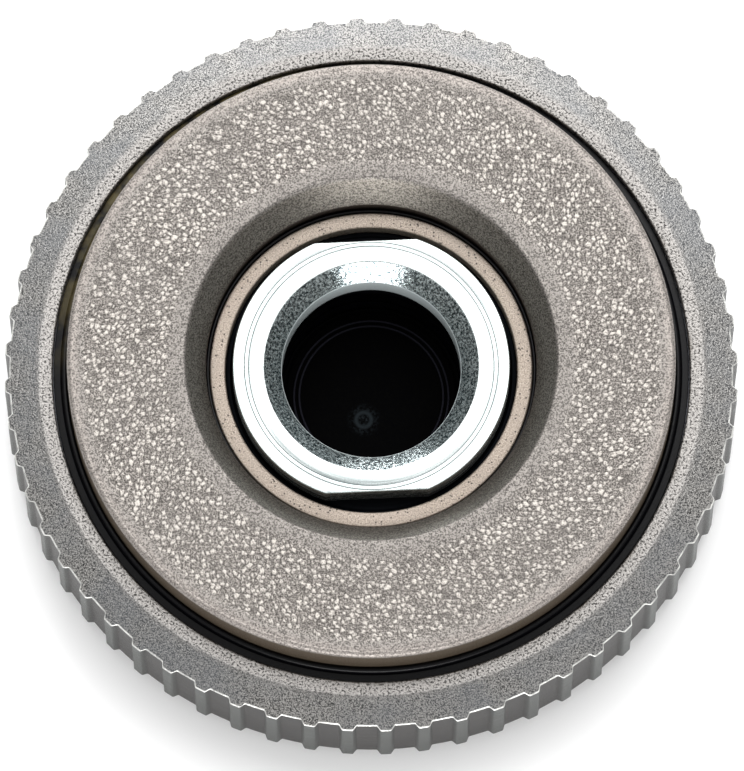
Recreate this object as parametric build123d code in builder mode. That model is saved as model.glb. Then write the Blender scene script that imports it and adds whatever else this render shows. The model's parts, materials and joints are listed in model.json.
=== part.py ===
"""Hand-tightened quick-clamping chuck nut for an M14 spindle, as separate pieces.

Millimetres, +Z up. The nut lies on its back cover: the origin is the middle of that cover's outer
face, and +Z is the thread's axis, pointing out of the clamping side. Turning the hand ring about -Z
lets six balls roll down the cam ring's ramps, and the pressure plate drops away from the disc.
"""

import os
from math import asin, cos, degrees, radians, sin

from build123d import *

# Fits
RUN = 0.05  # radial clearance of a running fit
SNUG = 0.02  # radial clearance of a piece that doesn't turn in its seat
PAST = 1.0  # how far a cut runs past the face it opens

# Thread and nose
THREAD_MINOR_R = 5.918
THREAD_MAJOR_R = 7.0
THREAD_PITCH = 2.0
THREAD_GROOVES = 3
THREAD_START = 3.05  # the last groove ends below a plain lead-in
MOUTH_R = 7.1
NOSE_R = 9.15
NOSE_FLATS = 17.0
NOSE_TOP = 10.86
NOSE_EDGE = 0.2
FLAT_TURN = 2.6  # degrees, how far the flats stand off the X axis

# Hub
SHOULDER_R = 9.62
SHOULDER_TOP = 8.6
CORE_R = 11.1
CORE_TOP = 7.4
CIRCLIP_SEAT_R = 10.6
CIRCLIP_R = 12.05
CIRCLIP_THICKNESS = 0.4
CIRCLIP_GAP = 1.8
CIRCLIP_MIDDLE = 204.0  # degrees, middle of the circlip's gap
EYE_CIRCLE_R = 11.5
EYE_R = 0.8
EYE_HOLE_R = 0.35
EYE_ANGLE = 9.0
FLANGE_R = 18.9
FLANGE_BOTTOM = 1.2
FLANGE_TOP = 4.0
POCKET_R = 14.8
POCKET_TOP = 3.3
CAP_R = 7.55
CAP_PLUG_R = 7.2
CAP_EDGE = 0.2
CAP_TOP = 2.2
CAP_BOTTOM = 0.3

# Slide band between the flange and the hand ring
BAND_SEAT_R = 18.4
BAND_BOTTOM = 1.7
BAND_TOP = 3.5
BAND_SPLIT = 0.5
BAND_SPLIT_ANGLE = 100.0  # degrees

# Pressure plate
PLATE_TOP = 13.0
PLATE_BOTTOM = 7.5
PLATE_R = 20.05
PLATE_EDGE = 0.45
PLATE_BEVEL_EDGE = 0.2
PLATE_RIM_R = 20.85
PLATE_RIM_TOP = 8.1
PLATE_BEVEL_R = 12.3
PLATE_MOUTH_R = 10.92
PLATE_MOUTH_Z = 10.94
PLATE_BORE_R = 10.7
PLATE_BORE_TOP = 9.4
PLATE_RELIEF_R = 11.5
PLATE_RELIEF_TOP = 8.05
WIPER_TOP = 9.8

# Guide bush and its pins
BUSH_IN_R = 9.65
BUSH_OUT_R = 10.65
BUSH_TOP = 9.72
BUSH_EDGE = 0.12
PIN_R = 0.7
PIN_CIRCLE_R = 10.67
PIN_TOP = 8.6
PINS = 3
PIN_START = 30.0  # degrees, angle of the first pin

# Hand ring
RING_CREST_R = 24.25
RING_GROOVE_R = 23.92
RING_BACK = 1.0
RING_SHELF = 1.25
RING_FRONT = 9.75
RING_BACK_EDGE = 0.4
RING_LIP_EDGE = 0.15
RING_BEVEL_R = 22.0
RING_BEVEL_DROP = 0.65
RING_MOUTH_R = 21.03
RING_RECESS_BOTTOM = 6.7
SNAP_IN_R = 20.6
SNAP_OUT_R = 21.6
SNAP_BOTTOM = 8.6
SNAP_TOP = 8.95
SNAP_GAP = 1.5
SNAP_GAP_ANGLE = 140.0  # degrees
DISC_IN_R = 20.2
DISC_OUT_R = 20.85
DISC_THICKNESS = 0.2
SEAL_IN_R = 20.1
SEAL_LIP_R = 20.5
SEAL_OUT_R = 21.0
SEAL_BOTTOM = 9.0
SEAL_SHELF = 9.3
SEAL_TOP = 9.9
SEAL_LIP_EDGE = 0.15
RING_BORE_R = 19.0
RING_COVER_R = 20.8
RIDGES = 60
RIDGE_PHASE = 2.3  # degrees, angle of one crest
CREST_ANGLE = 1.9  # degrees across a crest
FLOOR_ANGLE = 3.3  # degrees across the floor of a groove

# Cam ring, balls and travel
CAM_BOTTOM = 4.45
CAM_TOP = 6.4
CAM_R = 19.4
CAM_EDGE = 0.15
BALLS = 6
BALL_START = 10.0  # degrees, angle of the first ball
BALL_R = 1.25
BALL_CIRCLE_R = 15.6
BALL_Z = 7.0
TRACK_R = 1.3
RING_TURN = 40.0  # degrees, from clamped to released
BALL_TURN = RING_TURN / 2  # a rolling ball goes half as far as the ring
PLATE_DROP = 0.6
CAGE_BOTTOM = 7.05
CAGE_THICKNESS = 0.35
CAGE_IN_R = 12.8
CAGE_OUT_R = 18.4
CAGE_WINDOW_LENGTH = 5.0
CAGE_WINDOW_WIDTH = 2.0
DOWEL_R = 0.9
DOWELS = 3
DOWEL_START = 20.0  # degrees, angle of the first dowel
WASHER_GAP = 0.3  # between the thrust washer and the spring pin

# Return spring, which turns the hand ring back
SPRING_R = 12.45
SPRING_WIRE_R = 0.35
SPRING_PITCH = 0.75
SPRING_TURNS = 1.75
SPRING_LEG_GRIP = 1.3
SPRING_PIN_R = 0.6
SPRING_PIN_CIRCLE_R = 13.95
SPRING_PIN_BOTTOM = 2.45
SPRING_PIN_TOP = 5.45
SPRING_SLOT_GAP = 0.2
SPRING_LOW = FLANGE_BOTTOM + RUN + SPRING_WIRE_R
SPRING_HIGH = SPRING_LOW + SPRING_PITCH * SPRING_TURNS
SPRING_FREE_ANGLE = -degrees((SPRING_PIN_R + SPRING_WIRE_R + RUN) / SPRING_PIN_CIRCLE_R)
SPRING_FIXED_ANGLE = SPRING_FREE_ANGLE + 360 * SPRING_TURNS

# Back cover and its screws
COVER_R = 20.5
COVER_THICKNESS = 1.2
COVER_MOUTH_R = 7.22
COVER_EDGE = 0.4
COVER_MOUTH_EDGE = 0.2
COVER_BOLT_R = 17.0
SCREWS = 4
SCREW_START = 45.0  # degrees, angle of the first screw
SCREW_R = 0.95
SCREW_HEAD_R = 1.9
SCREW_TOP = 3.3
SCREW_HOLE_TOP = 3.5
SCREW_SINK = 0.05
SOCKET_R = 0.7
SOCKET_DEPTH = 0.6
ARROW_R = 12.6
ARROW_STARTS = (60, 240)  # degrees
ARROW_SWEEP = 50.0  # degrees
ARROW_WIDTH = 0.7
ARROW_DEPTH = 0.2
SPANNER_HOLE_R = 1.5
SPANNER_HOLE_DEPTH = 1.3
REAR_SEAL_IN_R = 19.4
REAR_SEAL_OUT_R = 20.2
REAR_SEAL_BOTTOM = 0.7

BASE = (Align.CENTER, Align.CENTER, Align.MIN)  # a cone or cylinder that stands on its place


def section(inner, outer, low, high, mode=Mode.ADD):
    """A rectangle of the radial half-section, for a revolve about Z."""
    with Locations(((inner + outer) / 2, (low + high) / 2)):
        Rectangle(outer - inner, high - low, mode=mode)


def outline(*corners, mode=Mode.ADD):
    """A closed outline of the radial half-section, through (radius, height) corners."""
    Polygon(*corners, align=None, mode=mode)


# ---- Threaded hub: nose with two flats, shoulder, core and flange ----
with BuildPart() as threaded_hub:
    with BuildSketch(Plane.XZ):
        outline(
            (THREAD_MINOR_R, FLANGE_BOTTOM),
            (FLANGE_R, FLANGE_BOTTOM),
            (FLANGE_R, FLANGE_TOP),
            (CORE_R, FLANGE_TOP),
            (CORE_R, CORE_TOP),
            (SHOULDER_R, CORE_TOP),
            (SHOULDER_R, SHOULDER_TOP),
            (NOSE_R, SHOULDER_TOP),
            (NOSE_R, NOSE_TOP - NOSE_EDGE),
            (NOSE_R - NOSE_EDGE, NOSE_TOP),
            (MOUTH_R, NOSE_TOP),
            (THREAD_MINOR_R, NOSE_TOP - (MOUTH_R - THREAD_MINOR_R)),
        )
    revolve(axis=Axis.Z)

    # Flats on the nose, down to the shoulder
    with BuildSketch(Plane.XY.offset(SHOULDER_TOP).rotated((0, 0, FLAT_TURN))):
        Rectangle(3 * NOSE_R, 3 * NOSE_R)
        Rectangle(3 * NOSE_R, NOSE_FLATS, mode=Mode.SUBTRACT)
    extrude(amount=NOSE_TOP, mode=Mode.SUBTRACT)

    # Thread, as ring grooves of the ISO profile one pitch apart, with crests at the minor radius
    with BuildSketch(Plane.XZ):
        for turn in range(THREAD_GROOVES):
            middle = THREAD_START + turn * THREAD_PITCH
            outline(
                (THREAD_MINOR_R, middle - THREAD_PITCH * 3 / 8),
                (THREAD_MAJOR_R, middle - THREAD_PITCH / 16),
                (THREAD_MAJOR_R, middle + THREAD_PITCH / 16),
                (THREAD_MINOR_R, middle + THREAD_PITCH * 3 / 8),
            )
    revolve(axis=Axis.Z, mode=Mode.SUBTRACT)

    # Seats of the bore cap, return spring, circlip and slide band
    with BuildSketch(Plane.XZ):
        section(0, CAP_R + SNUG, FLANGE_BOTTOM, CAP_TOP)
        section(CORE_R, POCKET_R, FLANGE_BOTTOM, POCKET_TOP)
        section(CIRCLIP_SEAT_R, CORE_R + PAST, CAM_TOP + RUN, CAM_TOP + RUN + CIRCLIP_THICKNESS + SNUG)
        section(BAND_SEAT_R, FLANGE_R + PAST, BAND_BOTTOM, BAND_TOP)
    revolve(axis=Axis.Z, mode=Mode.SUBTRACT)

    # Slot through the pocket's floor for the spring pin, over the whole turn of the ring
    with BuildSketch(Plane.XY.offset(POCKET_TOP)):
        slot_path = CenterArc((0, 0), SPRING_PIN_CIRCLE_R, 0, -RING_TURN)
        SlotArc(slot_path, 2 * (SPRING_PIN_R + SPRING_SLOT_GAP))
    extrude(amount=FLANGE_TOP - POCKET_TOP, mode=Mode.SUBTRACT)

    # Tapped holes for the cover screws, and blind holes behind the cover's spanner holes
    with BuildSketch(Plane.XY.offset(FLANGE_BOTTOM)):
        with PolarLocations(COVER_BOLT_R, SCREWS, start_angle=SCREW_START):
            Circle(SCREW_R + SNUG)
    extrude(amount=SCREW_HOLE_TOP - FLANGE_BOTTOM, mode=Mode.SUBTRACT)
    with BuildSketch(Plane.XY.offset(FLANGE_BOTTOM)):
        with PolarLocations(COVER_BOLT_R, 2):
            Circle(SPANNER_HOLE_R)
    extrude(amount=SPANNER_HOLE_DEPTH, mode=Mode.SUBTRACT)

    # Slot in the rim for the spring's fixed leg
    with BuildSketch(Plane.XY.offset(FLANGE_BOTTOM)):
        with PolarLocations(POCKET_R, 1, start_angle=SPRING_FIXED_ANGLE):
            Rectangle(2 * SPRING_LEG_GRIP, 2 * (SPRING_WIRE_R + RUN))
    extrude(amount=SPRING_LOW + SPRING_WIRE_R + RUN - FLANGE_BOTTOM, mode=Mode.SUBTRACT)
threaded_hub.part.label = "threaded_hub"

# ---- Guide bush on the hub's shoulder, with seats for the guide pins ----
with BuildPart() as guide_bush:
    with BuildSketch(Plane.XZ):
        section(BUSH_IN_R, BUSH_OUT_R, CORE_TOP, BUSH_TOP)
    revolve(axis=Axis.Z)
    chamfer(faces().sort_by(Axis.Z)[-1].edges(), BUSH_EDGE)
    with BuildSketch(Plane.XY.offset(CORE_TOP)):
        with PolarLocations(PIN_CIRCLE_R, PINS, start_angle=PIN_START):
            Circle(PIN_R + SNUG)
    extrude(amount=PIN_TOP + SNUG - CORE_TOP, mode=Mode.SUBTRACT)
guide_bush.part.label = "guide_bush"

# ---- Guide pins, half in the bush and half in the plate, which let the plate slide but not turn ----
with BuildPart() as guide_pins:
    with BuildSketch(Plane.XY.offset(CORE_TOP)):
        with PolarLocations(PIN_CIRCLE_R, PINS, start_angle=PIN_START):
            Circle(PIN_R)
    extrude(amount=PIN_TOP - CORE_TOP)
guide_pins.part.label = "guide_pins"

# ---- Circlip over the cam ring, open on one side with two eyed ends ----
with BuildPart() as cam_circlip:
    with BuildSketch(Plane.XY.offset(CAM_TOP + RUN)):
        Circle(CIRCLIP_R)
        with PolarLocations(EYE_CIRCLE_R, 2, CIRCLIP_MIDDLE - EYE_ANGLE, 2 * EYE_ANGLE, endpoint=True):
            Circle(EYE_R)
        Circle(CIRCLIP_SEAT_R + SNUG, mode=Mode.SUBTRACT)
        with PolarLocations(EYE_CIRCLE_R, 1, start_angle=CIRCLIP_MIDDLE):
            Rectangle(4 * EYE_R, CIRCLIP_GAP, mode=Mode.SUBTRACT)
        with PolarLocations(EYE_CIRCLE_R, 2, CIRCLIP_MIDDLE - EYE_ANGLE, 2 * EYE_ANGLE, endpoint=True):
            Circle(EYE_HOLE_R, mode=Mode.SUBTRACT)
    extrude(amount=CIRCLIP_THICKNESS)
cam_circlip.part.label = "cam_circlip"

# ---- Thrust washer between the flange and the cam ring ----
with BuildPart() as thrust_washer:
    with BuildSketch(Plane.XZ):
        section(CORE_R + RUN, SPRING_PIN_CIRCLE_R - SPRING_PIN_R - WASHER_GAP, FLANGE_TOP, CAM_BOTTOM - RUN)
    revolve(axis=Axis.Z)
thrust_washer.part.label = "thrust_washer"

# ---- Slide band in the flange's rim, which the hand ring turns on ----
with BuildPart() as slide_band:
    with BuildSketch(Plane.XZ):
        section(BAND_SEAT_R + SNUG, RING_BORE_R - RUN, BAND_BOTTOM + SNUG, BAND_TOP - SNUG)
    revolve(axis=Axis.Z)
    with BuildSketch(Plane.XY):
        with PolarLocations(BAND_SEAT_R, 1, start_angle=BAND_SPLIT_ANGLE):
            Rectangle(3 * PAST, BAND_SPLIT)
    extrude(amount=BAND_TOP, mode=Mode.SUBTRACT)
slide_band.part.label = "slide_band"

# ---- Return spring: torsion coil with one leg in the hub's rim and one behind the spring pin ----
with BuildPart() as wound_wire:
    with BuildLine():
        rise = SPRING_HIGH - SPRING_LOW
        coil = Helix(SPRING_PITCH, rise, SPRING_R, center=(0, 0, SPRING_LOW), lefthand=True)
    with BuildSketch(Plane(coil @ 0, z_dir=coil % 0)):
        Circle(SPRING_WIRE_R)
    sweep(path=coil, is_frenet=True)
    for end, grip in ((coil @ 0, POCKET_R + SPRING_LEG_GRIP - RUN), (coil @ 1, POCKET_R - SPRING_SLOT_GAP)):
        outward = Vector(end.X, end.Y, 0).normalized()
        with BuildSketch(Plane(end, z_dir=outward)):
            Circle(SPRING_WIRE_R)
        extrude(amount=grip - SPRING_R)
        with Locations(end):
            Sphere(SPRING_WIRE_R)

with BuildPart() as return_spring:
    add(wound_wire.part, rotation=(0, 0, SPRING_FIXED_ANGLE))
return_spring.part.label = "return_spring"

# ---- Bore cap behind the thread ----
with BuildPart() as bore_cap:
    with BuildSketch(Plane.XZ):
        section(0, CAP_PLUG_R, CAP_BOTTOM, FLANGE_BOTTOM)
        section(0, CAP_R, FLANGE_BOTTOM, CAP_TOP - SNUG)
    revolve(axis=Axis.Z)
    chamfer(faces().sort_by(Axis.Z)[0].edges(), CAP_EDGE)
bore_cap.part.label = "bore_cap"

# ---- Back cover: countersunk screws, two spanner holes, arrows for the way the ring releases ----
with BuildPart() as back_cover:
    with BuildSketch(Plane.XZ):
        section(COVER_MOUTH_R, COVER_R, 0, COVER_THICKNESS)
        section(REAR_SEAL_IN_R, REAR_SEAL_OUT_R, REAR_SEAL_BOTTOM, COVER_THICKNESS, mode=Mode.SUBTRACT)
    revolve(axis=Axis.Z)
    fillet(faces().sort_by(Axis.Z)[0].edges().sort_by(SortBy.RADIUS)[-1], COVER_EDGE)
    chamfer(faces().sort_by(Axis.Z)[0].edges().sort_by(SortBy.RADIUS)[0], COVER_MOUTH_EDGE)
    with BuildSketch(Plane.XY):
        with PolarLocations(COVER_BOLT_R, 2):
            Circle(SPANNER_HOLE_R)
    extrude(amount=COVER_THICKNESS, mode=Mode.SUBTRACT)
    with PolarLocations(COVER_BOLT_R, SCREWS, start_angle=SCREW_START):
        sink_height = SCREW_HEAD_R + SCREW_SINK - SCREW_R
        Cone(SCREW_HEAD_R + SCREW_SINK + SNUG, SCREW_R + SNUG, sink_height, align=BASE, mode=Mode.SUBTRACT)
        Cylinder(SCREW_R + SNUG, COVER_THICKNESS, align=BASE, mode=Mode.SUBTRACT)
    with BuildSketch(Plane.XY):
        for side in ARROW_STARTS:
            SlotArc(CenterArc((0, 0), ARROW_R, side, ARROW_SWEEP), ARROW_WIDTH)
            with PolarLocations(ARROW_R, 1, start_angle=side + ARROW_SWEEP):
                Polygon((-3 * ARROW_WIDTH / 2, 0), (3 * ARROW_WIDTH / 2, 0), (0, 3 * ARROW_WIDTH), align=None)
    extrude(amount=ARROW_DEPTH, mode=Mode.SUBTRACT)
back_cover.part.label = "back_cover"

# ---- Countersunk cover screws with hexagon sockets ----
with BuildPart() as cover_screws:
    head_height = SCREW_HEAD_R - SCREW_R
    with PolarLocations(COVER_BOLT_R, SCREWS, start_angle=SCREW_START):
        with Locations((0, 0, SCREW_SINK)):
            Cone(SCREW_HEAD_R, SCREW_R, head_height, align=BASE)
            Cylinder(SCREW_R, SCREW_TOP - SCREW_SINK, align=BASE)
    with BuildSketch(Plane.XY.offset(SCREW_SINK)):
        with PolarLocations(COVER_BOLT_R, SCREWS, start_angle=SCREW_START):
            RegularPolygon(SOCKET_R, 6)
    extrude(amount=SOCKET_DEPTH, mode=Mode.SUBTRACT)
cover_screws.part.label = "cover_screws"

# ---- Felt seal between the back cover and the hand ring ----
with BuildPart() as rear_dust_seal:
    with BuildSketch(Plane.XZ):
        section(REAR_SEAL_IN_R + SNUG, REAR_SEAL_OUT_R - SNUG, REAR_SEAL_BOTTOM, COVER_THICKNESS + SNUG)
    revolve(axis=Axis.Z)
rear_dust_seal.part.label = "rear_dust_seal"

# ---- Hand ring: ridges round the outside, bevelled front, seats inside ----
with BuildPart() as hand_ring:
    with BuildSketch(Plane.XZ):
        outline(
            (RING_BORE_R, RING_SHELF),
            (RING_COVER_R, RING_SHELF),
            (RING_COVER_R, RING_BACK),
            (RING_CREST_R - RING_BACK_EDGE, RING_BACK),
            (RING_CREST_R, RING_BACK + RING_BACK_EDGE),
            (RING_CREST_R, RING_FRONT - RING_BEVEL_DROP),
            (RING_BEVEL_R, RING_FRONT),
            (RING_MOUTH_R + RING_LIP_EDGE, RING_FRONT),
            (RING_MOUTH_R, RING_FRONT - RING_LIP_EDGE),
            (RING_MOUTH_R, RING_RECESS_BOTTOM),
            (CAM_R + SNUG, RING_RECESS_BOTTOM),
            (CAM_R + SNUG, CAM_BOTTOM),
            (RING_BORE_R, CAM_BOTTOM),
        )
        section(RING_MOUTH_R - PAST, SNAP_OUT_R + SNUG, SNAP_BOTTOM, SNAP_TOP + SNUG, mode=Mode.SUBTRACT)
    revolve(axis=Axis.Z)
    with BuildSketch(Plane.XY.offset(RING_BACK)):
        crest_half = radians(CREST_ANGLE / 2)
        pitch = 360 / RIDGES
        floor_half = radians(FLOOR_ANGLE / 2)
        mouth_half = radians((pitch - CREST_ANGLE) / 2)
        with PolarLocations(0, RIDGES, start_angle=RIDGE_PHASE + pitch / 2):
            Polygon(
                (RING_GROOVE_R * cos(floor_half), -RING_GROOVE_R * sin(floor_half)),
                (RING_CREST_R * cos(mouth_half), -RING_CREST_R * sin(mouth_half)),
                (RING_CREST_R + PAST, -RING_CREST_R * sin(mouth_half)),
                (RING_CREST_R + PAST, RING_CREST_R * sin(mouth_half)),
                (RING_CREST_R * cos(mouth_half), RING_CREST_R * sin(mouth_half)),
                (RING_GROOVE_R * cos(floor_half), RING_GROOVE_R * sin(floor_half)),
                align=None,
            )
    extrude(amount=RING_FRONT - RING_BACK, mode=Mode.SUBTRACT)
    with BuildSketch(Plane.XY.offset(CAM_BOTTOM)):
        with PolarLocations(CAM_R, DOWELS, start_angle=DOWEL_START):
            Circle(DOWEL_R + SNUG)
    extrude(amount=RING_RECESS_BOTTOM - CAM_BOTTOM, mode=Mode.SUBTRACT)
hand_ring.part.label = "hand_ring"

# ---- A ball's track: part of a torus with round ends, in a frame whose +X points at its middle ----
with BuildPart() as ball_track:
    with BuildSketch(Plane.XZ.rotated((0, 0, -BALL_TURN / 2))):
        with Locations((BALL_CIRCLE_R, 0)):
            Circle(TRACK_R)
    revolve(axis=Axis.Z, revolution_arc=BALL_TURN)
    with PolarLocations(BALL_CIRCLE_R, 2, -BALL_TURN / 2, BALL_TURN, endpoint=True):
        Sphere(TRACK_R)

# ---- Cam ring: one sloping track per ball, falling towards the release side ----
with BuildPart() as cam_ring:
    with BuildSketch(Plane.XZ):
        section(CORE_R + RUN, CAM_R, CAM_BOTTOM, CAM_TOP)
    revolve(axis=Axis.Z)
    chamfer(edges().filter_by(GeomType.CIRCLE), CAM_EDGE)
    slope = degrees(asin(PLATE_DROP / (radians(BALL_TURN) * BALL_CIRCLE_R)))
    for ball in range(BALLS):
        middle = BALL_START + ball * 360 / BALLS + BALL_TURN / 2
        place = Location((0, 0, BALL_Z - PLATE_DROP / 2), (0, 0, middle))
        with Locations(place * Location((0, 0, 0), (-slope, 0, 0))):
            add(ball_track.part, mode=Mode.SUBTRACT)
    with BuildSketch(Plane.XY.offset(CAM_BOTTOM)):
        with PolarLocations(CAM_R, DOWELS, start_angle=DOWEL_START):
            Circle(DOWEL_R + SNUG)
    extrude(amount=CAM_TOP - CAM_BOTTOM, mode=Mode.SUBTRACT)
    with BuildSketch(Plane.XY.offset(CAM_BOTTOM)):
        with Locations((SPRING_PIN_CIRCLE_R, 0)):
            Circle(SPRING_PIN_R + SNUG)
    extrude(amount=SPRING_PIN_TOP + SNUG - CAM_BOTTOM, mode=Mode.SUBTRACT)
cam_ring.part.label = "cam_ring"

# ---- Dowels, half in the hand ring and half in the cam ring, so that the two turn as one ----
with BuildPart() as drive_dowels:
    with BuildSketch(Plane.XY.offset(CAM_BOTTOM)):
        with PolarLocations(CAM_R, DOWELS, start_angle=DOWEL_START):
            Circle(DOWEL_R)
    extrude(amount=CAM_TOP - CAM_BOTTOM)
drive_dowels.part.label = "drive_dowels"

# ---- Spring pin under the cam ring, which winds the return spring ----
with BuildPart() as spring_pin:
    with BuildSketch(Plane.XY.offset(SPRING_PIN_BOTTOM)):
        with Locations((SPRING_PIN_CIRCLE_R, 0)):
            Circle(SPRING_PIN_R)
    extrude(amount=SPRING_PIN_TOP - SPRING_PIN_BOTTOM)
spring_pin.part.label = "spring_pin"

# ---- Balls and their cage, which roll between the cam ring and the pressure plate ----
with BuildPart() as ramp_balls:
    with PolarLocations(BALL_CIRCLE_R, BALLS, start_angle=BALL_START):
        with Locations((0, 0, BALL_Z)):
            Sphere(BALL_R)
ramp_balls.part.label = "ramp_balls"

with BuildPart() as ball_cage:
    with BuildSketch(Plane.XY.offset(CAGE_BOTTOM)):
        Circle(CAGE_OUT_R)
        Circle(CAGE_IN_R, mode=Mode.SUBTRACT)
        with PolarLocations(BALL_CIRCLE_R, BALLS, start_angle=BALL_START):
            Circle(BALL_R + RUN, mode=Mode.SUBTRACT)
        with PolarLocations(BALL_CIRCLE_R, BALLS, start_angle=BALL_START + 180 / BALLS):
            SlotOverall(CAGE_WINDOW_LENGTH, CAGE_WINDOW_WIDTH, mode=Mode.SUBTRACT, rotation=90)
    extrude(amount=CAGE_THICKNESS)
ball_cage.part.label = "ball_cage"

# ---- Pressure plate: clamping face, bevelled mouth, guided bore, ball race underneath ----
with BuildPart() as pressure_plate:
    with BuildSketch(Plane.XZ):
        outline(
            (PLATE_RELIEF_R, PLATE_BOTTOM),
            (PLATE_RIM_R, PLATE_BOTTOM),
            (PLATE_RIM_R, PLATE_RIM_TOP),
            (PLATE_R, PLATE_RIM_TOP),
            (PLATE_R, PLATE_TOP),
            (PLATE_BEVEL_R, PLATE_TOP),
            (PLATE_MOUTH_R, PLATE_MOUTH_Z),
            (PLATE_MOUTH_R, PLATE_BORE_TOP),
            (PLATE_BORE_R, PLATE_BORE_TOP),
            (PLATE_BORE_R, PLATE_RELIEF_TOP),
            (PLATE_RELIEF_R, PLATE_RELIEF_TOP),
        )
    revolve(axis=Axis.Z)
    face_rims = edges().filter_by(GeomType.CIRCLE).group_by(Axis.Z)[-1].sort_by(SortBy.RADIUS)
    fillet(face_rims[-1], PLATE_EDGE)
    fillet(face_rims[0], PLATE_BEVEL_EDGE)
    with BuildSketch(Plane.XZ):
        with Locations((BALL_CIRCLE_R, BALL_Z)):
            Circle(TRACK_R)
    revolve(axis=Axis.Z, mode=Mode.SUBTRACT)
    with BuildSketch(Plane.XY.offset(PLATE_RELIEF_TOP)):
        with PolarLocations(PIN_CIRCLE_R, PINS, start_angle=PIN_START):
            Circle(PIN_R + RUN)
    extrude(amount=PIN_TOP + PLATE_DROP + RUN - PLATE_RELIEF_TOP, mode=Mode.SUBTRACT)
pressure_plate.part.label = "pressure_plate"

# ---- Wiper in the plate's bore, over the bush ----
with BuildPart() as bore_wiper:
    with BuildSketch(Plane.XZ):
        section(BUSH_OUT_R + RUN, PLATE_MOUTH_R - SNUG, PLATE_BORE_TOP, WIPER_TOP)
    revolve(axis=Axis.Z)
bore_wiper.part.label = "bore_wiper"

# ---- Disc spring between the plate's rim and the snap ring, which pushes the plate back ----
with BuildPart() as disc_spring:
    with BuildSketch(Plane.XZ):
        outline(
            (DISC_IN_R, SNAP_BOTTOM - DISC_THICKNESS),
            (DISC_OUT_R, PLATE_RIM_TOP),
            (DISC_OUT_R, PLATE_RIM_TOP + DISC_THICKNESS),
            (DISC_IN_R, SNAP_BOTTOM),
        )
    revolve(axis=Axis.Z)
disc_spring.part.label = "disc_spring"

# ---- Snap ring that holds the plate in the hand ring ----
with BuildPart() as plate_snap_ring:
    with BuildSketch(Plane.XY.offset(SNAP_BOTTOM)):
        Circle(SNAP_OUT_R)
        Circle(SNAP_IN_R, mode=Mode.SUBTRACT)
        with PolarLocations(SNAP_OUT_R, 1, start_angle=SNAP_GAP_ANGLE):
            Rectangle(4 * PAST, SNAP_GAP, mode=Mode.SUBTRACT)
    extrude(amount=SNAP_TOP - SNAP_BOTTOM)
plate_snap_ring.part.label = "plate_snap_ring"

# ---- Rubber dust seal in the hand ring's mouth, with a lip that wipes the plate ----
with BuildPart() as front_dust_seal:
    with BuildSketch(Plane.XZ):
        section(SEAL_IN_R, SEAL_OUT_R, SEAL_BOTTOM, SEAL_SHELF)
        section(SEAL_IN_R, SEAL_LIP_R, SEAL_SHELF, SEAL_TOP)
    revolve(axis=Axis.Z)
    fillet(faces().sort_by(Axis.Z)[-1].edges(), SEAL_LIP_EDGE)
front_dust_seal.part.label = "front_dust_seal"

pieces = [
    threaded_hub,
    guide_bush,
    guide_pins,
    cam_circlip,
    thrust_washer,
    slide_band,
    return_spring,
    bore_cap,
    back_cover,
    cover_screws,
    rear_dust_seal,
    hand_ring,
    cam_ring,
    drive_dowels,
    spring_pin,
    ramp_balls,
    ball_cage,
    pressure_plate,
    bore_wiper,
    disc_spring,
    plate_snap_ring,
    front_dust_seal,
]

os.makedirs("parts", exist_ok=True)
for piece in pieces:
    export_step(piece.part, f"parts/{piece.part.label}.step")
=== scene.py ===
"""Looks of the quick-clamping chuck nut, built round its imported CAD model."""

import json
import math

import bpy
import numpy as np
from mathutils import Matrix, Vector, kdtree


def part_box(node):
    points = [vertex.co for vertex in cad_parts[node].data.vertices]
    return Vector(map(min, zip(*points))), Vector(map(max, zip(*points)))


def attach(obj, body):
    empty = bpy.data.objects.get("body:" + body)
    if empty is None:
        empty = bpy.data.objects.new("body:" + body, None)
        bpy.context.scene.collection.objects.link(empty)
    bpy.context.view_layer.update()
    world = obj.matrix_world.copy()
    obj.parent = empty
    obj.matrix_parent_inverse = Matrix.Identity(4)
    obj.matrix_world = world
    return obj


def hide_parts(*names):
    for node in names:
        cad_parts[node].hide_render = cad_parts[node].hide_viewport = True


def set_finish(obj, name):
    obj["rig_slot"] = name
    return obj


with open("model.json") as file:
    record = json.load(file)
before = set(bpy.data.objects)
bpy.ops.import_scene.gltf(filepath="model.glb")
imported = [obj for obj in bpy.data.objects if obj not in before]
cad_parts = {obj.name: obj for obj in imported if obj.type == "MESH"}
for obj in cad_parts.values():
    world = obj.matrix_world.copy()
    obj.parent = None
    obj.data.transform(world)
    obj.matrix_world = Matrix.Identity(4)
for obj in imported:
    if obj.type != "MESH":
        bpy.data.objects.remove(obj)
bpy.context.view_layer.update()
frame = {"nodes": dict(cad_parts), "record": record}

MM = 0.001
COLUMNS = 480  # steps round a turned piece
FILLET_STEPS = 4  # steps round a rounded corner
SHARP_EDGE = math.radians(40)
TINY = 0.001  # mm, radii and heights closer than this count as the same
SEED = 14  # of the random granules

# Radii in mm that a shape and its finish share
RING_MOUTH_R = 21.03
PLATE_BEVEL_R = 12.3
NOSE_MOUTH_R = 7.1
NOSE_LINES = (8.1, 8.38)
CAP_RINGS = (4.8, 5.15)


def size_of(node):
    """(outer radius, lowest height, highest height) of a CAD node, in mm."""
    low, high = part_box(node)
    return (high.x - low.x) / 2 / MM, low.z / MM, high.z / MM


# ---- Turned shapes ----------------------------------------------------------------------------


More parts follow.
